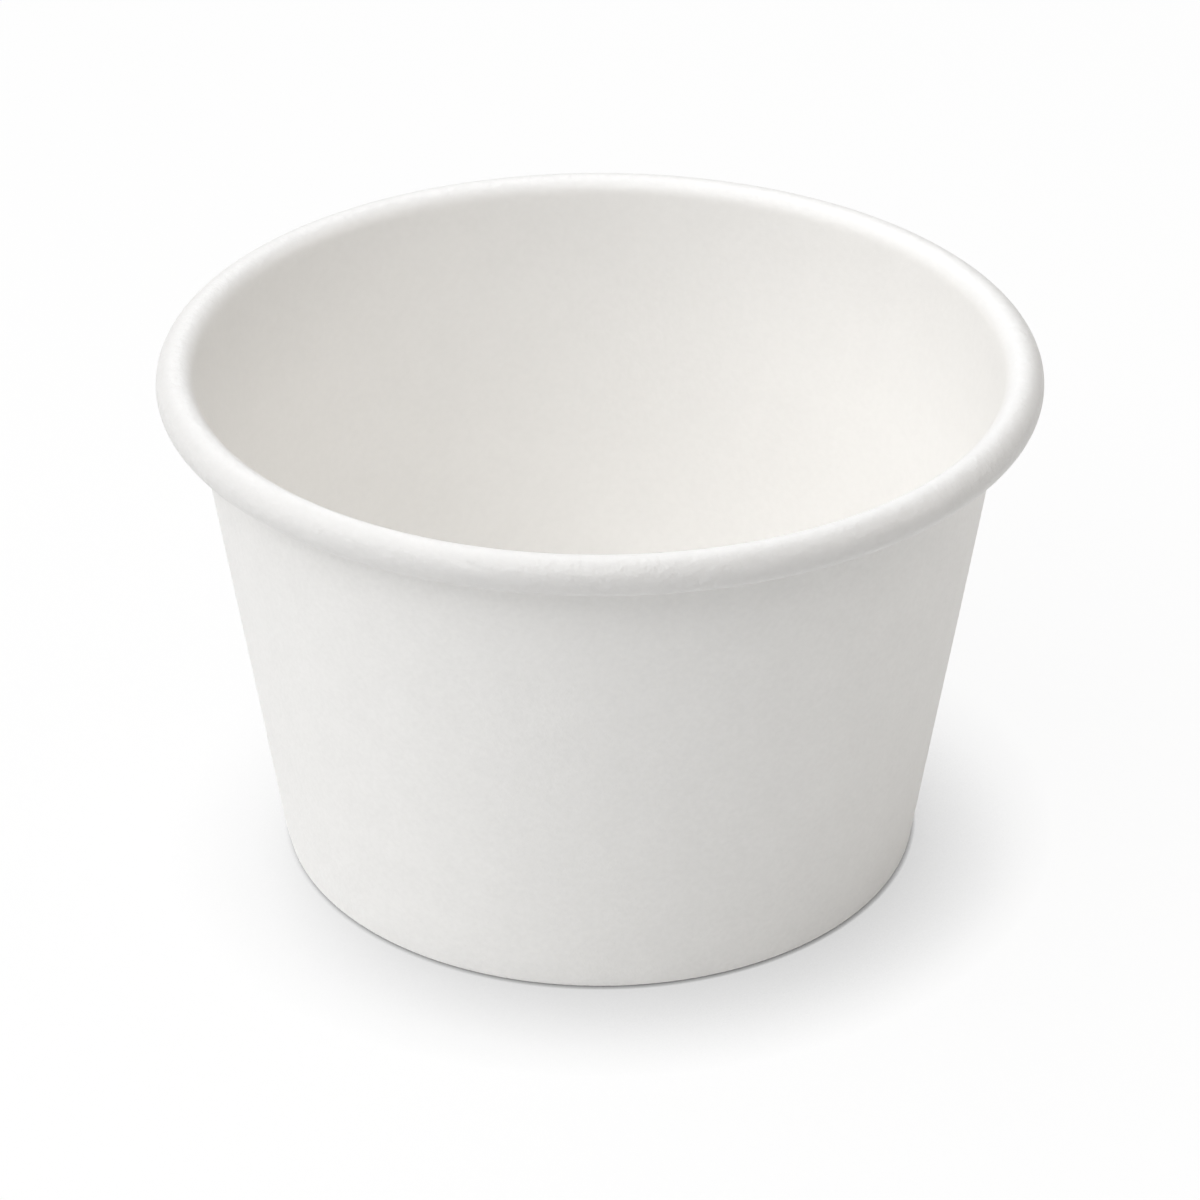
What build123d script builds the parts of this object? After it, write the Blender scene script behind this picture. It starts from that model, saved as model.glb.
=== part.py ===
from build123d import *
import os
from math import asin, atan2, cos, degrees, radians, sin, tan

# Paper sundae cup, in millimetres, +Z up. The origin is the centre of its base, on the table.
# The cup is two pieces of coated board. The side wall is one sheet, wrapped into a cone and lapped
# on itself, rolled outward at the rim and folded inward and up round the base disc's skirt.
# Both pieces are drawn as the section of their board, with r as x and height as y, and revolved.

# The cup as a whole.
rim_diameter = 96.0
cup_height = 58.9
base_diameter = 71.5  # of the wall's outer face, carried straight down to the table

# The board, and the melted coating between two plies that are sealed together.
wall_board = 0.38
base_board = 0.30
seal_film = 0.04

# The rolled rim, which is a full turn. Its end clears the wall's lapped seam by the gap.
roll_diameter = 4.24
roll_gap = 0.08

# The base: its floor stands clear of the table, and the hem stops short of it.
floor_recess = 7.0
hem_to_floor = 1.2

# The side seam, where the sheet's two ends lap. Its plies are pressed thinner, and past the inner
# ply's edge the outer ply runs out to the mandrel again. The azimuth is in degrees from +X.
lap_width = 7.0
lap_azimuth = 186.5
lap_runout = 2.6
pressed_ply_share = 0.7

# How many flats stand for each round stretch in section, which keeps the revolved sheet light: the
# roll up from the wall to its crest, out from there to its widest, and under; and each fold of the foot.
rise_flat_count = 2
crest_flat_count = 3
under_flat_count = 4
fold_flat_count = 2

# The wall's slope: its outer face passes the base circle and carries the roll.
roll_radius = roll_diameter / 2
roll_pitch = 2 * pressed_ply_share * wall_board + roll_gap
roll_centre = Vector(rim_diameter / 2 - roll_radius, cup_height - roll_radius)
base_corner = Vector(base_diameter / 2, 0)
slant = roll_centre - base_corner
lean = 90 - degrees(atan2(slant.Y, slant.X) + asin((roll_radius - wall_board) / slant.length))
outward = Vector(1, 0).rotate(Axis.Z, -lean)

# The base's plies, from the wall's outer face inward: the wall, the skirt and the hem.
skirt_depth = wall_board + seal_film
hem_depth = skirt_depth + base_board + seal_film + wall_board


def in_section(height, depth):
    """A point in section, at a height and at a depth into the wall from its outer face."""
    return Vector(base_corner.X + height * tan(radians(lean)) - depth / cos(radians(lean)), height)


def in_plan(height, depth, azimuth):
    """The same point in plan, at an azimuth."""
    return Vector(in_section(height, depth).X, 0).rotate(Axis.Z, azimuth)


def bend(centre, radius, start, turn, flat_count):
    """The corners of the flats that stand for a bend in section. Its angles are in degrees."""
    corners = (start + turn * corner / flat_count for corner in range(flat_count + 1))
    return [centre + Vector(radius, 0).rotate(Axis.Z, angle) for angle in corners]


def foot_face(radius):
    """The hem's two folds beside the flat ring that it stands on, at a radius about each crease."""
    hem_crease = in_section(wall_board, hem_depth - wall_board)
    wall_crease = in_section(wall_board, wall_board)
    if radius == 0:
        return [hem_crease, wall_crease]
    hem_fold = bend(hem_crease, radius, 180 - lean, 90 + lean, fold_flat_count)
    wall_fold = bend(wall_crease, radius, 270, 90 - lean, fold_flat_count)
    return [*hem_fold, *wall_fold]


def roll_face(inset):
    """The rolled rim, over its crest and back under it, inset from the face that shows."""
    under_centre = roll_centre + Vector(roll_pitch / 2, 0)
    under_radius = roll_radius - roll_pitch / 2
    rise = bend(roll_centre, roll_radius - inset, 180 - lean, lean - 90, rise_flat_count)
    crest = bend(roll_centre, roll_radius - inset, 90, -90, crest_flat_count)
    under = bend(under_centre, under_radius - inset, 0, -180, under_flat_count)
    return [*rise, *crest[1:], *under[1:]]


def wall_sheet():
    """The wall, hem and rim as one ply, revolved from the section of the sheet's two faces."""
    hem_top = in_section(floor_recess - hem_to_floor, hem_depth)
    outside = [hem_top, *foot_face(wall_board), *roll_face(wall_board)]
    inside = [hem_top + outward * wall_board, *foot_face(0), *roll_face(0)]
    return revolve(Plane.XZ * make_face(Polyline(*outside, *reversed(inside), close=True)), Axis.Z)


def lap_azimuths(height):
    """Where the outer ply's edge, the inner ply's edge and the run-out's end lie at a height."""
    radius = in_section(height, 0).X
    outer_edge = lap_azimuth - degrees(lap_width / 2 / radius)
    inner_edge = lap_azimuth + degrees(lap_width / 2 / radius)
    return outer_edge, inner_edge, inner_edge + degrees(lap_runout / radius)


def plan_arc(height, depth, start, end):
    """An arc in plan, at a depth into the wall, from one azimuth to another."""
    azimuths = (start, (start + end) / 2, end)
    return ThreePointArc(*(in_plan(height, depth, azimuth) for azimuth in azimuths))


def outer_ply_section(height):
    """What the lapped outer ply adds to the wall's outer face, in plan, rooted inside the board."""
    outer_edge, inner_edge, runout_end = lap_azimuths(height)
    crown = plan_arc(height, -wall_board * (2 * pressed_ply_share - 1), outer_edge, inner_edge)
    root = plan_arc(height, wall_board / 2, runout_end, outer_edge)
    runout = Line(crown @ 1, in_plan(height, 0, runout_end))
    ends = [Line(runout @ 1, root @ 0), Line(root @ 1, crown @ 0)]
    return Pos(0, 0, height) * make_face([crown, runout, root, *ends])


def seam_groove_section(height):
    """The groove beside the inner ply's edge, in plan, where the outer ply runs out to the mandrel."""
    _, inner_edge, runout_end = lap_azimuths(height)
    corners = [
        in_plan(height, wall_board * (1 - pressed_ply_share), inner_edge),
        in_plan(height, wall_board, runout_end),
        in_plan(height, skirt_depth, runout_end),
        in_plan(height, skirt_depth, inner_edge),
    ]
    return Pos(0, 0, height) * make_face(Polyline(*corners, close=True))


def along_seam(section):
    """A section of the seam carried from the foot's fold up to the rolled rim."""
    return loft([section(wall_board * (1 - sin(radians(lean)))), section(roll_centre.Y)], ruled=True)


def make_side_wall():
    """The whole wall: the sheet, its lapped seam and the groove beside the seam's inner edge."""
    return wall_sheet() + along_seam(outer_ply_section) - along_seam(seam_groove_section)


def make_base_disc():
    """The cup's floor, with its edge creased down into the skirt that the hem holds."""
    inner_depth = skirt_depth + base_board
    floor_top = floor_recess + base_board
    skirt_foot = in_section(wall_board + seal_film + base_board, inner_depth)
    under = [skirt_foot, in_section(floor_recess, inner_depth), Vector(0, floor_recess)]
    top = [skirt_foot + outward * base_board, in_section(floor_top, skirt_depth), Vector(0, floor_top)]
    return revolve(Plane.XZ * make_face(Polyline(*under, *reversed(top), close=True)), Axis.Z)


os.makedirs("parts", exist_ok=True)
export_step(make_side_wall(), "parts/side_wall.step")
export_step(make_base_disc(), "parts/base_disc.step")
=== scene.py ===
from math import asin, atan2, cos, hypot, pi, radians, sin, tan

import bpy
import numpy as np
from bpy.props import FloatProperty, FloatVectorProperty, IntProperty, PointerProperty
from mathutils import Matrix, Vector


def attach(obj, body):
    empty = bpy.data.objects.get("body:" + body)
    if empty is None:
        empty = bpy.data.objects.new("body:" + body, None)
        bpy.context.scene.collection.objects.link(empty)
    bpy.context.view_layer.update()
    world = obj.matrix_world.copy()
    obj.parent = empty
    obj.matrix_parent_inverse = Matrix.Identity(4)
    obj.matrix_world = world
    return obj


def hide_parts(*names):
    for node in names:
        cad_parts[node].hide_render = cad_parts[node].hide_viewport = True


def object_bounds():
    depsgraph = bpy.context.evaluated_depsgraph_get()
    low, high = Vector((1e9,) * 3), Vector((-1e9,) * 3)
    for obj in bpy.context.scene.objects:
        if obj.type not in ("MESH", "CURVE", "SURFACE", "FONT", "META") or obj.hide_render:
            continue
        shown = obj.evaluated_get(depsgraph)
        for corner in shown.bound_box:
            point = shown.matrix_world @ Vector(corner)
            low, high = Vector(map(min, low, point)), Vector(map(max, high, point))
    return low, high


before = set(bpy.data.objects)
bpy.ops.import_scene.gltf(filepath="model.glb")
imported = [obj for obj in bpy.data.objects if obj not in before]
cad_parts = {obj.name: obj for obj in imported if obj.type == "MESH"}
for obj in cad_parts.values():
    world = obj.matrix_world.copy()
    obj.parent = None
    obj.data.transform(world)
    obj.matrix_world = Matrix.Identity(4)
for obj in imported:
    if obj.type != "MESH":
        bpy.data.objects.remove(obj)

bl_info = {
    "name": "Paper Sundae Cup",
    "version": (1, 0, 0),
    "blender": (4, 5, 0),
    "location": "View3D > Sidebar > Cup",
    "description": "Makes a rolled-rim paper cup from one sheet of board and a base disc, and its stage",
    "category": "Add Mesh",
}

# All lengths are in metres. The origin is the centre of the cup's base, on the floor.
CAD_LOW, CAD_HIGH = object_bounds()
FULL_TURN = 2 * pi
STRAIGHT_DOWN = 1.5 * pi  # in section, from the outward direction

# The wall's sheet in section: its parts, from the hem's cut edge on, and the stations along each one.
PARTS = ("hem", "foot", "wall", "rim")
HEM_STATIONS = 9
FOLD_STATIONS = 8
WALL_STATIONS = 19
CREST_STATIONS = 30
UNDER_STATIONS = 27
WALL_CROWDING = 1.15  # above 1, so the wall's stations lie closer together towards its foot
FLATTENED_HEM_SHARE = 1 / 4  # of the hem, next to its fold, where the lap is pressed flatter
FLATTENED_WALL_SHARE = 1 / 30  # of the wall, likewise

# The stretches across the sheet, from the lap's outer ply to its inner ply, and their columns.
OUTER_PLY, RUNOUT, ROUND, PRESSED_EDGE, INNER_PLY = range(5)
PLY_COLUMNS = 8
ROUND_COLUMNS = 448
PRESSED_COLUMNS = 4
RUNOUT_SHARES = (0, 0.005, 0.012, 0.14, 0.32, 0.52, 0.76)  # close at first, where the lining has a step

# Handling marks on the rim, with the depth in metres and each angle in degrees.
RIM_UNEVENNESS = 0.000012
RIM_DENTS = (  # depth, azimuth, half width, angle round the roll, half height, slant across the roll
    (0.00014, 236, 21, 86, 30, 0),
    (0.00007, 252.86, 1.8, 44, 34, 0.16),
)

# How far round the rim a point lies sets the coating's colour: 0 in the cup, 0.5 on the rim's crest and
# 1 on its outer half. The blends are the angles round the roll at which each change starts and ends.
# The crest's lighter colour is a painted highlight, and the outer half's darker colour is painted shade.
ROUND_RIM = "round_rim"
ON_CREST = 0.5
CREST_BLEND = (radians(165), radians(105))
OUTER_BLEND = (radians(112), radians(38))

WALL_WAVE_HEIGHT = 0.00002
WALL_WAVE_FADE = 1 / 6  # share of the wall's height over which its waves fade at the foot and at the rim
HEM_MARK_RISE = 1 / 5  # share of the floor's height over which the hem's marks come up from the fold

# The base disc: the radii of its middle rings, how many rings follow from the edge's start to the crease,
# over it and down the skirt, and the gathers, with how far they reach to each side of the crease.
MIDDLE_RINGS = (0.0004, 0.002, 0.005, 0.009, 0.014, 0.019, 0.024)
EDGE_START = 0.028
EDGE_RINGS = 13
CREASE_RINGS = 10
SKIRT_RINGS = 7
DISC_COLUMNS = 360
GATHER_HEIGHT = 0.000014
GATHER_REACH = 0.003

# A board's material slots.
OUTER_FACE, INNER_FACE, CUT_EDGE = range(3)

WHITE = (1, 1, 1)
WARM_WHITE = (1, 0.965, 0.92)
LAMPS = {  # azimuth from +X, elevation, width in metres, colour
    "key": (240, 60, 1.1, WHITE),
    "left": (180, 35, 0.9, WHITE),
    "front_left": (225, 35, 0.9, WHITE),
    "right": (0, 35, 0.9, WARM_WHITE),
    "back": (118, 60, 1.1, WHITE),
}
LAMP_DISTANCE = 1.3
FLOOR_HALF_WIDTH = 1.5
SHADE_SAMPLES = 4
SENSOR_WIDTH = 36


def length(name, description, default):
    """A length in metres that a user may change."""
    return FloatProperty(
        name=name, description=description, default=default, min=0, precision=5, unit="LENGTH"
    )


def angle(name, description, default):
    """An angle that a user may change, with its default in degrees."""
    return FloatProperty(name=name, description=description, default=radians(default), subtype="ANGLE")


def colour(name, description, default):
    """A linear colour that a user may change."""
    return FloatVectorProperty(
        name=name, description=description, default=default, subtype="COLOR", min=0, max=1
    )


def share(name, description, default):
    """A share from none to all of something."""
    return FloatProperty(
        name=name, description=description, default=default, subtype="FACTOR", min=0, max=1
    )


def level(name, description, default):
    """The level of a light, at which 1 lights a white surface that faces it to white."""
    return FloatProperty(name=name, description=description, default=default, min=0)


class CupSizes(bpy.types.PropertyGroup):
    """The cup's outline and its two boards."""

    rim_diameter: length("Rim diameter", "Across the rolled rim", CAD_HIGH[0] - CAD_LOW[0])
    height: length("Height", "From the table to the rim's crest", CAD_HIGH[2])
    base_diameter: length("Base diameter", "Of the wall's outer face, carried down to the table", 0.0715)
    wall_board: length("Wall board", "Thickness of the side wall's sheet", 0.00038)
    base_board: length("Base board", "Thickness of the base disc", 0.0003)
    seal_film: length("Seal film", "Melted coating between two sealed plies", 0.00004)
    roll_diameter: length("Roll diameter", "Thickness of the rolled rim", 0.00424)
    roll_gap: length("Roll gap", "Clearance between the roll's turns", 0.00008)
    floor_recess: length("Floor recess", "From the table up to the underside of the floor", 0.007)
    floor_bend: length("Floor bend", "Radius inside the crease of the base disc", 0.0003)
    floor_sag: length("Floor sag", "How far the floor's middle lies below its edge", 0.00018)
    foot_crease: length("Foot crease", "Radius inside each fold of the foot", 0.00012)
    hem_to_floor: length("Hem to floor", "From the hem's cut edge up to the floor", 0.0012)


class SeamSizes(bpy.types.PropertyGroup):
    """The side seam, where the sheet's two ends lap, and the marks that forming leaves."""

    azimuth: angle("Azimuth", "Middle of the lap, from +X", 186.5)
    lap: length("Lap", "Width over which the two plies lie on each other", 0.007)
    runout: length("Run-out", "Width over which the outer ply comes back to the mandrel", 0.0026)
    film: length("Film", "Melted coating between the two lapped plies", 0.00001)
    pressed_edge: length("Pressed edge", "Width over which the inner ply thins before the lap", 0.0005)
    pressed_ply: share("Pressed ply", "Thickness of each lapped ply, as a share of the board", 0.7)
    foot_ply: share("Foot ply", "The same where the foot's folds flatten the lap", 0.5)
    rim_step: share("Rim step", "What the rolling tool leaves of the seam's step on the rim", 0.012)
    closing: length("Closing", "Height below the rim over which that tool closes the step", 0.003)
    hem_marks: IntProperty(
        name="Hem marks", description="Grooves that the curling tool presses in the hem", default=96, min=0
    )
    hem_mark_depth: length("Hem mark depth", "Depth of each of these grooves", 0.00005)


class BoardFinish(bpy.types.PropertyGroup):
    """Colours of the board's faces and edges, with a painted highlight on the rim's crest and painted shade
    on its outer half.
    """

    outside: colour("Outside", "Uncoated white face", (0.92, 0.913, 0.897))
    lining: colour("Lining", "Satin coating inside the cup", (0.92, 0.909, 0.889))
    # Painted highlight: the rim's crest is coloured lighter and more neutral than the lining.
    crest: colour("Crest", "That coating on the crest, which the rolling tool rubs", (0.94, 0.938, 0.934))
    # Painted shade: the rim's outer half is coloured darker than the lining.
    rolled: colour("Rolled", "That coating where the rim's outer half is drawn tight", (0.76, 0.752, 0.74))
    base: colour("Base", "Coated face of the base disc", (0.92, 0.909, 0.889))
    cut_edge: colour("Cut edge", "Bare fibres at the board's edges", (0.86, 0.84, 0.8))


class StageSettings(bpy.types.PropertyGroup):
    """The floor, the lamps and the camera."""

    key: level("Key lamp", "Soft lamp high at the front left", 0.555)
    left: level("Left lamp", "Soft lamp at the left", 0.25)
    front_left: level("Front left lamp", "Soft lamp beside the camera", 0.17)
    right: level("Right lamp", "Soft lamp at the right, which lights the inside's left", 0.28)
    back: level("Back lamp", "Soft lamp high behind the cup, which lights the rim's crest", 0.36)
    sky: level("Sky", "Even light from all round", 0.0)
    floor: colour("Floor", "Colour of the floor, which throws light back up at the cup", (0.93, 0.93, 0.93))
    floor_white: share("Floor white", "Share of the open floor that shows as plain white", 0.92)
    shade_reach: length("Shade reach", "How far from the cup the floor's white still darkens", 0.016)
    shade: share("Shade", "How much the white darkens where the cup covers all that it faces", 0.44)
    shade_azimuth: angle("Shade azimuth", "Where the white faces, from +X", 125)
    shade_tilt: angle("Shade tilt", "How far it leans that way from the zenith", 42)
    contact_reach: length("Contact reach", "How far the darker line along the foot reaches", 0.0006)
    contact: share("Contact", "How much the white darkens there", 0.8)
    camera_distance: length("Camera distance", "From the camera to the point it looks at", 0.47293)
    camera_height: length("Look-at height", "Height of the point that the camera looks at", 0.027588)
    camera_elevation: angle("Camera elevation", "Angle above the horizon", 29.966)
    lens: FloatProperty(name="Lens", description="Focal length", default=126.816, min=1, unit="CAMERA")


def direction(angles):
    """Unit vectors in section at one or several angles from the outward direction."""
    return np.stack([np.cos(angles), np.sin(angles)], axis=-1)


def ease(x):
    """A smooth step from 0 to 1 as x goes from 0 to 1."""
    x = np.clip(x, 0, 1)
    return x * x * (3 - 2 * x)


def hump(x, middle, half_width):
    """A smooth rise to 1 at the middle, and 0 beyond the half width."""
    return ease(1 - np.abs(x - middle) / half_width)


def waves(azimuth, *terms):
    """The sum of some waves round the cup, each with its weight, its number of crests and its phase."""
    return sum(weight * np.sin(crests * azimuth + phase) for weight, crests, phase in terms)


def evenly(count):
    """The shares of a stretch at which each of its even columns starts."""
    return np.arange(count) / count


def turned(radius, height, azimuth):
    """A grid of points in space from their radii and heights in section, and their azimuths."""
    return np.stack([radius * np.cos(azimuth), radius * np.sin(azimuth), height], axis=-1)


class Section:
    """The cup in section, with r as x and height as y, in metres."""

    def __init__(self, sizes):
        self.sizes = sizes
        self.board = sizes.wall_board
        self.roll_radius = sizes.roll_diameter / 2
        self.base_radius = sizes.base_diameter / 2
        rise = sizes.height - self.roll_radius
        reach = sizes.rim_diameter / 2 - self.roll_radius - self.base_radius
        self.roll_centre = np.array([self.base_radius + reach, rise])
        self.lean = pi / 2 - atan2(rise, reach) - asin((self.roll_radius - self.board) / hypot(rise, reach))
        self.outward = direction(-self.lean)
        self.skirt_depth = self.board + sizes.seal_film
        self.hem_depth = self.skirt_depth + sizes.base_board + sizes.seal_film + self.board

    def at(self, height, depth):
        """A point at a height and at a depth into the wall from its outer face."""
        return np.array([self.wall_radius(height) - depth / cos(self.lean), height])

    def wall_radius(self, height):
        """Radius of the wall's outer face at a height."""
        return self.base_radius + height * tan(self.lean)


class Stations:
    """Points along the sheet in section: on its lining, with the way through the board to its outside."""

    def __init__(self):
        self.rows = []

    def add(self, points, through, ply, lap_height, part, turn=0.0, per_pitch=0.0):
        """Adds a stretch, without its first point where that repeats the end of the one before."""
        count = len(points)
        columns = [
            points,
            np.broadcast_to(through, (count, 2)),
            np.broadcast_to(per_pitch, (count, 2)),
            np.broadcast_to(np.reshape(ply, (-1, 1)), (count, 1)),
            np.broadcast_to(np.reshape(lap_height, (-1, 1)), (count, 1)),
            np.full((count, 1), PARTS.index(part)),
            np.broadcast_to(np.reshape(turn, (-1, 1)), (count, 1)),
        ]
        rows = np.hstack(columns)
        self.rows.append(rows[1:] if self.rows else rows)

    def columns(self):
        """Lining points, ways through, points per pitch, pressed ply, lap height, part and turn."""
        rows = np.vstack(self.rows)
        return rows[:, 0:2], rows[:, 2:4], rows[:, 4:6], rows[:, 6], rows[:, 7], rows[:, 8], rows[:, 9]


def sheet_stations(section, seam):
    """Stations from the hem's cut edge, down and round the foot, up the wall and round the rim."""
    sizes, lean = section.sizes, section.lean
    crease = sizes.foot_crease
    fold = section.board + crease
    hem_crease = section.at(fold, section.hem_depth - fold)
    wall_crease = section.at(fold, fold)
    ply, foot_ply = seam.pressed_ply, seam.foot_ply
    stations = Stations()

    down = np.linspace(0, 1, HEM_STATIONS)[:, None]
    hem_end = section.at(sizes.floor_recess - sizes.hem_to_floor, section.hem_depth)
    hem_top = hem_end + section.outward * section.board
    hem_foot = hem_crease - section.outward * crease
    hem_ply = foot_ply + (ply - foot_ply) * ease((1 - down[:, 0]) / FLATTENED_HEM_SHARE)
    stations.add(hem_top + (hem_foot - hem_top) * down, -section.outward, hem_ply, 0, "hem")

    way = direction(np.linspace(pi - lean, STRAIGHT_DOWN, FOLD_STATIONS))
    stations.add(hem_crease + crease * way, way, foot_ply, 0, "foot")
    ring = np.array([hem_crease, wall_crease]) - (0, crease)
    stations.add(ring, (0, -1), foot_ply, 0, "foot")
    way = direction(np.linspace(STRAIGHT_DOWN, FULL_TURN - lean, FOLD_STATIONS))
    stations.add(wall_crease + crease * way, way, foot_ply, 0, "foot")

    up = np.linspace(0, 1, WALL_STATIONS)[:, None] ** WALL_CROWDING
    wall_foot = wall_crease + section.outward * crease
    wall_top = section.roll_centre - section.outward * section.roll_radius
    wall_ply = foot_ply + (ply - foot_ply) * ease(up[:, 0] / FLATTENED_WALL_SHARE)
    heights = np.linspace(0, section.roll_centre[1], WALL_STATIONS)
    stations.add(wall_foot + (wall_top - wall_foot) * up, section.outward, wall_ply, heights, "wall")

    turn = np.linspace(pi - lean, 0, CREST_STATIONS)
    way = direction(turn)
    stations.add(section.roll_centre + section.roll_radius * way, -way, ply, heights[-1], "rim", turn)
    turn = np.linspace(0, -pi, UNDER_STATIONS)
    way = direction(turn)
    points = section.roll_centre + section.roll_radius * way
    per_pitch = ((1, 0) - way) / 2
    stations.add(points, -way, ply, heights[-1], "rim", turn, per_pitch)
    return stations.columns()


def sheet_columns(section, seam, lap_heights):
    """Azimuths across the sheet at each station, and each column's share in the lap's two plies."""
    radius = section.wall_radius(lap_heights)
    half_lap = seam.lap / 2 / radius
    knots = np.stack([
        seam.azimuth - half_lap,
        seam.azimuth + half_lap,
        seam.azimuth + half_lap + seam.runout / radius,
        seam.azimuth + FULL_TURN - half_lap - seam.pressed_edge / radius,
        seam.azimuth + FULL_TURN - half_lap,
        seam.azimuth + FULL_TURN + half_lap,
    ])
    steps = {
        OUTER_PLY: evenly(PLY_COLUMNS),
        RUNOUT: RUNOUT_SHARES,
        ROUND: evenly(ROUND_COLUMNS),
        PRESSED_EDGE: evenly(PRESSED_COLUMNS),
        INNER_PLY: evenly(PLY_COLUMNS),
    }
    stretch = np.append(np.repeat(list(steps), [len(step) for step in steps.values()]), INNER_PLY)
    along = np.append(np.concatenate(list(steps.values())), 1.0)
    azimuths = knots[stretch] * (1 - along[:, None]) + knots[stretch + 1] * along[:, None]
    outer = np.select([stretch == OUTER_PLY, stretch == RUNOUT], [1.0, 1 - ease(along)], 0.0)
    inner = np.select([stretch == INNER_PLY, stretch == PRESSED_EDGE], [1.0, ease(along)], 0.0)
    return azimuths.T, outer, inner


def rim_dents(azimuth, turn):
    """How far handling has pressed the roll in, at an azimuth and an angle round the roll."""
    pressed = RIM_UNEVENNESS * (0.5 + 0.5 * waves(azimuth, (1, 3, 0.8)) * waves(azimuth, (1, 7, 2.1)))
    round_cup, round_roll = np.degrees(azimuth % FULL_TURN), np.degrees(turn)
    for depth, middle, half_width, height, half_height, slant in RIM_DENTS:
        across = hump(round_cup + slant * (round_roll - height), middle, half_width)
        pressed = pressed + depth * across * hump(round_roll, height, half_height)
    return pressed


def seam_show(section, seam, height, is_rim):
    """How much of the step beside the inner ply's edge the rolling tool leaves at each station."""
    closed = ease(1 + (height - section.roll_centre[1]) / seam.closing)
    return 1 - (1 - seam.rim_step) * np.where(is_rim, 1, closed)


def wall_waves(section, azimuth, height):
    """A slow waviness of the wall, which fades to nothing at its foot and its rim."""
    up = height / section.roll_centre[1]
    fade = ease(up / WALL_WAVE_FADE - 1) * ease((1 - up) / WALL_WAVE_FADE)
    return WALL_WAVE_HEIGHT * fade * waves(azimuth, (1, 5, 4 * up), (0.6, 11, 1.3 - 7 * up))


def hem_grooves(section, seam, azimuth, height):
    """How deep the curling tool has pressed its marks into the hem."""
    grooves = 0.5 - 0.5 * np.cos(seam.hem_marks * azimuth)
    rise = section.sizes.floor_recess * HEM_MARK_RISE
    return seam.hem_mark_depth * grooves * ease((height - height.min()) / rise)


def sheet_faces(section, seam):
    """The two faces of the wall's sheet, as grids of points, and how far round the rim each one lies."""
    lining, through, per_pitch, ply, lap_height, part, turn = sheet_stations(section, seam)
    azimuth, outer, inner = sheet_columns(section, seam, lap_height)
    ply, turn, height = ply[:, None], turn[:, None], lining[:, 1:2]
    is_hem, is_wall, is_rim = ((part == PARTS.index(name))[:, None] for name in ("hem", "wall", "rim"))
    board = section.board
    lapped = np.maximum(outer, inner)
    pitch = board * (1 + (2 * seam.pressed_ply - 1) * lapped) + section.sizes.roll_gap
    # How far the sheet's two faces lie from the mandrel, in boards. The outer ply lies on the inner one.
    near = outer * ply * np.where(outer < 1, seam_show(section, seam, height, is_rim), 1)
    far = outer * 2 * ply + inner * (ply - seam.film / board) + (1 - outer - inner)
    moved = np.where(is_rim, rim_dents(azimuth, turn), 0)
    moved = moved + np.where(is_wall, wall_waves(section, azimuth, height), 0)
    pressed = np.where(is_hem, hem_grooves(section, seam, azimuth, height), 0)
    rolled = lining[:, None] + per_pitch[:, None] * pitch[None, :, None]
    faces = []
    for depth in (far * board + moved - pressed, near * board + moved):
        point = rolled + through[:, None] * depth[..., None]
        faces.append(turned(point[..., 0], point[..., 1], azimuth))
    blends = (ease((start - turn) / (start - end)) for start, end in (CREST_BLEND, OUTER_BLEND))
    round_rim = np.where(is_rim, ON_CREST * sum(blends), 0)
    return *faces, np.broadcast_to(round_rim, azimuth.shape)


def floor_faces(section):
    """The two faces of the base disc, as grids of points: its underside and its top."""
    sizes = section.sizes
    bend = sizes.floor_bend
    inner_depth = section.skirt_depth + sizes.base_board
    centre = section.at(sizes.floor_recess - bend, inner_depth + bend)
    across = np.concatenate([MIDDLE_RINGS, np.linspace(EDGE_START, centre[0], EDGE_RINGS)])
    flat = np.stack([across, np.full_like(across, sizes.floor_recess)], axis=-1)
    way = direction(np.linspace(pi / 2, -section.lean, CREASE_RINGS))[1:]
    skirt_top = centre + bend * way[-1]
    skirt_foot = section.at(section.board + sizes.seal_film + sizes.base_board, inner_depth)
    skirt = skirt_top + (skirt_foot - skirt_top) * np.linspace(0, 1, SKIRT_RINGS)[1:, None]
    under = np.vstack([flat, centre + bend * way, skirt])
    through = np.vstack([np.tile((0, 1), (len(flat), 1)), way, np.tile(section.outward, (len(skirt), 1))])
    azimuth = np.linspace(0, FULL_TURN, DISC_COLUMNS, endpoint=False)
    along = np.concatenate([[0], np.cumsum(np.hypot(*np.diff(under, axis=0).T))])
    crease = along[len(flat) - 1]
    gathers = GATHER_HEIGHT * waves(azimuth, (1, 47, 0), (0.7, 61, 2), (0.5, 83, 4))
    gathers = gathers * hump(along, crease, GATHER_REACH)[:, None]
    sag = -sizes.floor_sag * ease((centre[0] - under[:, 0]) / centre[0])[:, None]
    faces = []
    for depth in (0.0, sizes.base_board):
        point = under[:, None] + through[:, None] * (depth + gathers)[..., None]
        faces.append(turned(point[..., 0], point[..., 1] + sag, azimuth))
    return faces


def grid_quads(grid, flip=False):
    """Quads between the neighbours of a grid of vertex numbers."""
    corners = [grid[:-1, :-1], grid[:-1, 1:], grid[1:, 1:], grid[1:, :-1]]
    quads = np.stack(corners, axis=-1).reshape(-1, len(corners))
    return quads[:, ::-1] if flip else quads


def fan(ring, middle):
    """Triangles from each side of a ring to the point in its middle."""
    return np.stack([ring[1:], ring[:-1], np.full(len(ring) - 1, middle)], axis=-1)


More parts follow.
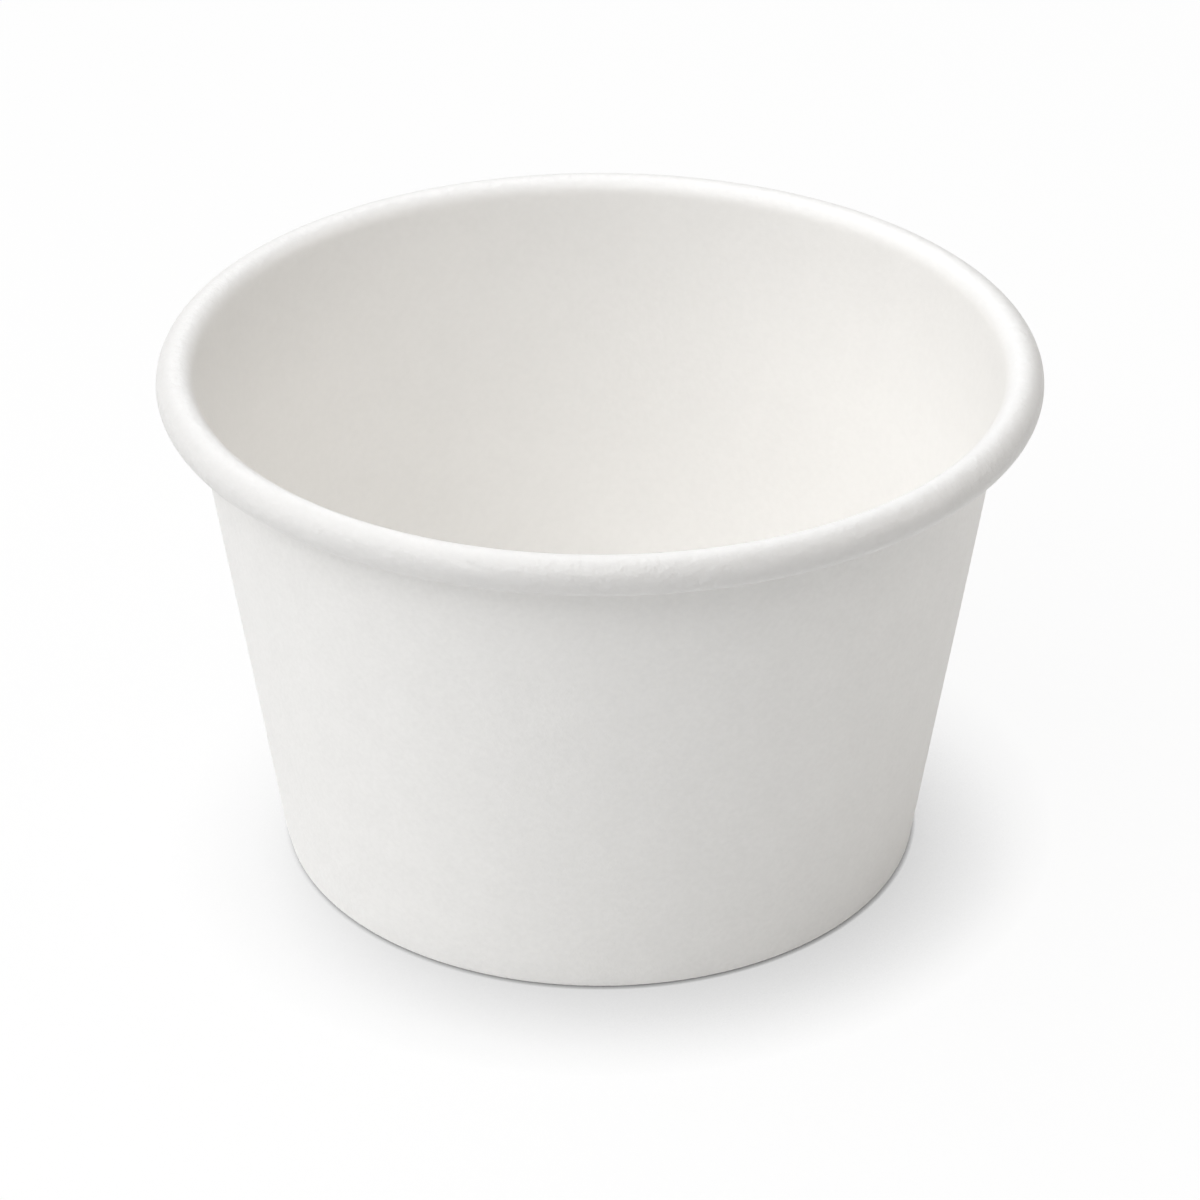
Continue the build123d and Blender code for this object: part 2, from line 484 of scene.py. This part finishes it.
def board_mesh(name, outside, lining, materials, round_board=False):
    """A board's mesh from the grids of its two faces, with its cut edges sharp.

    A round board's grids start at a small ring round its middle, and have only one cut edge, at their end.
    """
    rows, columns = outside.shape[:2]
    face = np.arange(rows * columns).reshape(rows, columns)
    back = face + rows * columns
    points = np.concatenate([outside.reshape(-1, 3), lining.reshape(-1, 3)])
    polygons = []
    if round_board:
        face, back = (np.hstack([grid, grid[:, :1]]) for grid in (face, back))
        middles = np.stack([grid[0].mean(axis=0) for grid in (outside, lining)])
        polygons.append((fan(face[0], len(points)), OUTER_FACE))
        polygons.append((fan(back[0, ::-1], len(points) + 1), INNER_FACE))
        points = np.concatenate([points, middles])
        sides = [(face[-1], back[-1])]
    else:
        sides = [(back[0], face[0]), (face[-1], back[-1])]
        sides += [(face[:, 0], back[:, 0]), (back[:, -1], face[:, -1])]
    cuts = [np.stack(pair) for pair in sides]
    polygons += [(grid_quads(face), OUTER_FACE), (grid_quads(back, flip=True), INNER_FACE)]
    polygons += [(grid_quads(cut), CUT_EDGE) for cut in cuts]
    mesh = bpy.data.meshes.new(name)
    mesh.from_pydata(points.tolist(), [], [polygon for group, _ in polygons for polygon in group.tolist()])
    for material in materials:
        mesh.materials.append(material)
    slots = np.concatenate([np.full(len(group), slot) for group, slot in polygons])
    mesh.polygons.foreach_set("material_index", slots.astype(np.int32))
    mesh.shade_smooth()
    mark_cut_edges(mesh, cuts)
    mesh.validate()
    mesh.update()
    piece = bpy.data.objects.new(name, mesh)
    bpy.context.collection.objects.link(piece)
    return piece


def mark_cut_edges(mesh, cuts):
    """Marks both long sides of each cut edge as sharp."""
    sides = np.concatenate([np.stack([side[:-1], side[1:]], axis=-1) for cut in cuts for side in cut])
    sharp_pairs = {tuple(pair) for pair in np.sort(sides, axis=1).tolist()}
    pairs = np.empty(len(mesh.edges) * 2, dtype=np.int32)
    mesh.edges.foreach_get("vertices", pairs)
    pairs = np.sort(pairs.reshape(-1, 2), axis=1).tolist()
    mesh.edges.foreach_set("use_edge_sharp", [tuple(pair) in sharp_pairs for pair in pairs])


def feed(tree, source, socket):
    """Gives a node's input a value, or links it to another node's output."""
    if isinstance(source, bpy.types.NodeSocket):
        tree.links.new(source, socket)
    else:
        socket.default_value = source


def combined(tree, operation, first, second):
    """A math node's result on two inputs."""
    node = tree.nodes.new("ShaderNodeMath")
    node.operation = operation
    feed(tree, first, node.inputs[0])
    feed(tree, second, node.inputs[1])
    return node.outputs["Value"]


class Finish:
    """Builds one board finish as a node material."""

    def __init__(self, name, tint, roughness, specular):
        self.material = bpy.data.materials.new(name)
        self.material.use_nodes = True
        self.material.diffuse_color = (*tint, 1)
        self.tree = self.material.node_tree
        self.nodes = self.tree.nodes
        self.links = self.tree.links
        self.shader = self.nodes["Principled BSDF"]
        self.shader.inputs["Roughness"].default_value = roughness
        self.shader.inputs["Specular IOR Level"].default_value = specular
        self.place = self.nodes.new("ShaderNodeTexCoord").outputs["Object"]

    def noise(self, size, detail, stretch=(1, 1, 1)):
        """A noise with patches of about this size in metres."""
        scaled = self.nodes.new("ShaderNodeMapping")
        scaled.inputs["Scale"].default_value = [axis / size for axis in stretch]
        self.links.new(self.place, scaled.inputs["Vector"])
        noise = self.nodes.new("ShaderNodeTexNoise")
        noise.inputs["Scale"].default_value = 1
        noise.inputs["Detail"].default_value = detail
        self.links.new(scaled.outputs["Vector"], noise.inputs["Vector"])
        return noise.outputs["Fac"]

    def spread(self, value, low, high=1.0, start=0.3, end=0.7):
        """Carries a value from one range, which is a noise's usual one unless given, to another."""
        node = self.nodes.new("ShaderNodeMapRange")
        for socket, number in (("From Min", start), ("From Max", end), ("To Min", low), ("To Max", high)):
            node.inputs[socket].default_value = number
        self.links.new(value, node.inputs["Value"])
        return node.outputs["Result"]

    def product(self, *values):
        """The product of several values."""
        result = values[0]
        for value in values[1:]:
            result = combined(self.tree, "MULTIPLY", result, value)
        return result

    def tinted(self, tint, *layers):
        """Colours the shader with a tint or a node's colour, darkened by each layer of noise."""
        scaled = self.nodes.new("ShaderNodeVectorMath")
        scaled.operation = "SCALE"
        feed(self.tree, tint, scaled.inputs[0])
        self.links.new(self.product(*layers), scaled.inputs["Scale"])
        self.links.new(scaled.outputs["Vector"], self.shader.inputs["Base Color"])

    def bumped(self, *layers):
        """Raises the surface by each layer: a noise and its height in metres."""
        normal = None
        for value, height in layers:
            bump = self.nodes.new("ShaderNodeBump")
            bump.inputs["Distance"].default_value = height
            self.links.new(value, bump.inputs["Height"])
            if normal:
                self.links.new(normal, bump.inputs["Normal"])
            normal = bump.outputs["Normal"]
        self.links.new(normal, self.shader.inputs["Normal"])


def outside_board(finish):
    """Uncoated white board: matte, with a cloudy formation and fine felted fibres."""
    board = Finish("outside_board", finish.outside, roughness=0.72, specular=0.35)
    clouds = board.noise(size=0.005, detail=3)
    felt = board.noise(size=0.0006, detail=4)
    grain = board.noise(size=0.00022, detail=2)
    board.tinted(finish.outside, board.spread(clouds, low=0.982), board.spread(felt, low=0.965))
    board.bumped((clouds, 0.00009), (felt, 0.000045), (grain, 0.000015))
    return board.material


def lining_coat(finish):
    """The thin satin coating inside the cup and round the rim, which the rolling pebbles finely. On the rim
    its colour carries a painted highlight on the crest and painted shade on the outer half.
    """
    coat = Finish("lining_coat", finish.lining, roughness=0.42, specular=0.5)
    clouds = coat.noise(size=0.006, detail=3)
    felt = coat.noise(size=0.0008, detail=4)
    pebbles = coat.noise(size=0.0012, detail=4)
    place = coat.nodes.new("ShaderNodeAttribute")
    place.attribute_name = ROUND_RIM
    # The lining's own colour, then a painted highlight on the rim's crest and painted shade on its outer
    # half.
    lining_and_painted_rim_light = coat.nodes.new("ShaderNodeValToRGB")
    stops = lining_and_painted_rim_light.color_ramp.elements
    stops[0].color = (*finish.lining, 1)
    stops[1].color = (*finish.rolled, 1)
    stops.new(ON_CREST).color = (*finish.crest, 1)
    coat.links.new(place.outputs["Fac"], lining_and_painted_rim_light.inputs["Fac"])
    coat.tinted(lining_and_painted_rim_light.outputs["Color"], coat.spread(clouds, low=0.988), coat.spread(felt, low=0.98))
    on_rim = coat.spread(place.outputs["Fac"], low=0.0, start=0.0, end=ON_CREST)
    coat.bumped((clouds, 0.00008), (felt, 0.000035), (coat.product(pebbles, on_rim), 0.0002))
    return coat.material


def base_coat(finish):
    """The base disc's coated face."""
    coat = Finish("base_coat", finish.base, roughness=0.5, specular=0.4)
    clouds = coat.noise(size=0.006, detail=3)
    felt = coat.noise(size=0.0008, detail=4)
    coat.tinted(finish.base, coat.spread(clouds, low=0.985), coat.spread(felt, low=0.98))
    coat.bumped((clouds, 0.00006), (felt, 0.000025))
    return coat.material


def cut_fibres(finish):
    """The board's cut edges, with bare fibres drawn out along the cut."""
    edge = Finish("cut_fibres", finish.cut_edge, roughness=0.9, specular=0.2)
    fibres = edge.noise(size=0.0002, detail=5, stretch=(1, 1, 3))
    edge.tinted(finish.cut_edge, edge.spread(fibres, low=0.86))
    edge.bumped((fibres, 0.00005))
    return edge.material


def shared(make, finish):
    """A material that several pieces use, made once."""
    return bpy.data.materials.get(make.__name__) or make(finish)


class CUP_OT_side_wall(bpy.types.Operator):
    """Make the side wall from one sheet: its lapped seam, folded hem and rolled rim"""

    bl_idname = "cup.side_wall"
    bl_label = "Side Wall"

    def execute(self, context):
        scene = context.scene
        outside, lining, round_rim = sheet_faces(Section(scene.cup_sizes), scene.cup_seam)
        finishes = [shared(make, scene.cup_finish) for make in (outside_board, lining_coat, cut_fibres)]
        wall = board_mesh("side_wall_sheet", outside, lining, finishes)
        place = wall.data.attributes.new(ROUND_RIM, "FLOAT", "POINT")
        place.data.foreach_set("value", np.tile(round_rim.reshape(-1), 2).astype(np.float32))
        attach(wall, "root")
        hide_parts("side_wall")
        return {"FINISHED"}


class CUP_OT_base_disc(bpy.types.Operator):
    """Make the base disc, whose creased skirt the hem holds"""

    bl_idname = "cup.base_disc"
    bl_label = "Base Disc"

    def execute(self, context):
        scene = context.scene
        underside, top = floor_faces(Section(scene.cup_sizes))
        finishes = [shared(make, scene.cup_finish) for make in (base_coat, base_coat, cut_fibres)]
        disc = board_mesh("base_disc_board", underside, top, finishes, round_board=True)
        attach(disc, "root")
        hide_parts("base_disc")
        return {"FINISHED"}


def seen_directly(tree):
    """1 on rays from the camera, or by way of a mirror or glass, and 0 on the rays that light the cup."""
    path = tree.nodes.new("ShaderNodeLightPath")
    seen = path.outputs["Is Camera Ray"]
    for name in ("Is Glossy Ray", "Is Transmission Ray"):
        seen = combined(tree, "MAXIMUM", seen, path.outputs[name])
    return seen


def make_sky(scene, stage):
    """Even light from all round, which shows as plain white."""
    world = bpy.data.worlds.new("studio_sky")
    world.use_nodes = True
    tree = world.node_tree
    strength = tree.nodes.new("ShaderNodeMapRange")
    strength.inputs["To Min"].default_value = stage.sky
    strength.inputs["To Max"].default_value = 1
    tree.links.new(seen_directly(tree), strength.inputs["Value"])
    background = tree.nodes["Background"]
    background.inputs["Color"].default_value = (1, 1, 1, 1)
    tree.links.new(strength.outputs["Result"], background.inputs["Strength"])
    scene.world = world


def away_at(azimuth, elevation):
    """The way out from the cup at an azimuth from +X and an elevation, both in radians."""
    return Vector((cos(azimuth) * cos(elevation), sin(azimuth) * cos(elevation), sin(elevation)))


def shaded(tree, reach, loss, facing):
    """1 on the open floor, and less by up to this loss where the cup covers what it faces within reach."""
    way = tree.nodes.new("ShaderNodeCombineXYZ")
    for axis, along in zip("XYZ", facing):
        way.inputs[axis].default_value = along
    covered = tree.nodes.new("ShaderNodeAmbientOcclusion")
    covered.samples = SHADE_SAMPLES
    covered.inputs["Distance"].default_value = reach
    tree.links.new(way.outputs["Vector"], covered.inputs["Normal"])
    left = tree.nodes.new("ShaderNodeMapRange")
    left.interpolation_type = "SMOOTHSTEP"
    left.inputs["To Min"].default_value = 1 - loss
    tree.links.new(covered.outputs["AO"], left.inputs["Value"])
    return left.outputs["Result"]


def floor_material(stage):
    """A pale floor. Where it is seen directly, most of it shows as white that darkens close to the cup."""
    material = bpy.data.materials.new("studio_floor")
    material.use_nodes = True
    tree = material.node_tree
    tree.nodes.clear()
    lit = tree.nodes.new("ShaderNodeBsdfDiffuse")
    lit.inputs["Color"].default_value = (*stage.floor, 1)
    facing = away_at(stage.shade_azimuth, pi / 2 - stage.shade_tilt)
    shade = shaded(tree, stage.shade_reach, stage.shade, facing)
    contact = shaded(tree, stage.contact_reach, stage.contact, facing)
    white = tree.nodes.new("ShaderNodeEmission")
    tree.links.new(combined(tree, "MULTIPLY", shade, contact), white.inputs["Strength"])
    either = tree.nodes.new("ShaderNodeMixShader")
    white_share = combined(tree, "MULTIPLY", seen_directly(tree), stage.floor_white)
    tree.links.new(white_share, either.inputs["Fac"])
    tree.links.new(lit.outputs["BSDF"], either.inputs[1])
    tree.links.new(white.outputs["Emission"], either.inputs[2])
    output = tree.nodes.new("ShaderNodeOutputMaterial")
    tree.links.new(either.outputs["Shader"], output.inputs["Surface"])
    return material


def make_floor(stage):
    """The floor that the cup stands on."""
    half = FLOOR_HALF_WIDTH
    mesh = bpy.data.meshes.new("studio_floor")
    corners = [(-half, -half, 0), (half, -half, 0), (half, half, 0), (-half, half, 0)]
    mesh.from_pydata(corners, [], [(0, 1, 2, 3)])
    mesh.materials.append(floor_material(stage))
    floor = bpy.data.objects.new("studio_floor", mesh)
    bpy.context.collection.objects.link(floor)


def make_lamp(name, brightness, azimuth, elevation, width, tint):
    """A square soft lamp that lights a surface facing it to this brightness, 1 being white."""
    light = bpy.data.lights.new(name, "AREA")
    light.shape = "SQUARE"
    light.size = width
    light.color = tint
    light.energy = brightness * (pi * LAMP_DISTANCE) ** 2
    lamp = bpy.data.objects.new(name, light)
    away = away_at(radians(azimuth), radians(elevation))
    lamp.location = away * LAMP_DISTANCE
    lamp.rotation_euler = away.to_track_quat("Z", "Y").to_euler()
    bpy.context.collection.objects.link(lamp)


def make_camera(scene, stage):
    """The camera, in front of the cup and above it."""
    data = bpy.data.cameras.new("camera")
    data.sensor_width = SENSOR_WIDTH
    data.lens = stage.lens
    camera = bpy.data.objects.new("camera", data)
    back = Vector((0, -cos(stage.camera_elevation), sin(stage.camera_elevation)))
    camera.location = Vector((0, 0, stage.camera_height)) + back * stage.camera_distance
    camera.rotation_euler = back.to_track_quat("Z", "Y").to_euler()
    bpy.context.collection.objects.link(camera)
    scene.camera = camera


class CUP_OT_stage(bpy.types.Operator):
    """Make the floor, the soft studio light and the camera"""

    bl_idname = "cup.stage"
    bl_label = "Stage"

    def execute(self, context):
        scene = context.scene
        stage = scene.cup_stage
        make_sky(scene, stage)
        make_floor(stage)
        for name, place in LAMPS.items():
            make_lamp(f"{name}_lamp", getattr(stage, name), *place)
        make_camera(scene, stage)
        scene.view_settings.view_transform = "Standard"
        return {"FINISHED"}


class CUP_PT_sidebar(bpy.types.Panel):
    """Lists the cup's pieces and its sizes"""

    bl_label = "Paper Sundae Cup"
    bl_space_type = "VIEW_3D"
    bl_region_type = "UI"
    bl_category = "Cup"

    def draw(self, context):
        layout = self.layout
        for operator in OPERATORS:
            layout.operator(operator.bl_idname)
        for group in GROUPS:
            settings = getattr(context.scene, group)
            box = layout.box()
            box.label(text=group.replace("_", " ").capitalize())
            for name in settings.__annotations__:
                box.prop(settings, name)


GROUPS = {
    "cup_sizes": CupSizes,
    "cup_seam": SeamSizes,
    "cup_finish": BoardFinish,
    "cup_stage": StageSettings,
}
OPERATORS = (CUP_OT_side_wall, CUP_OT_base_disc, CUP_OT_stage)


def register():
    for kind in (*GROUPS.values(), *OPERATORS, CUP_PT_sidebar):
        bpy.utils.register_class(kind)
    for name, kind in GROUPS.items():
        setattr(bpy.types.Scene, name, PointerProperty(type=kind))


def unregister():
    for name in GROUPS:
        delattr(bpy.types.Scene, name)
    for kind in (CUP_PT_sidebar, *OPERATORS, *GROUPS.values()):
        bpy.utils.unregister_class(kind)


def main():
    register()
    bpy.ops.cup.side_wall()
    bpy.ops.cup.base_disc()
    bpy.ops.cup.stage()


if __name__ == "__main__":
    main()
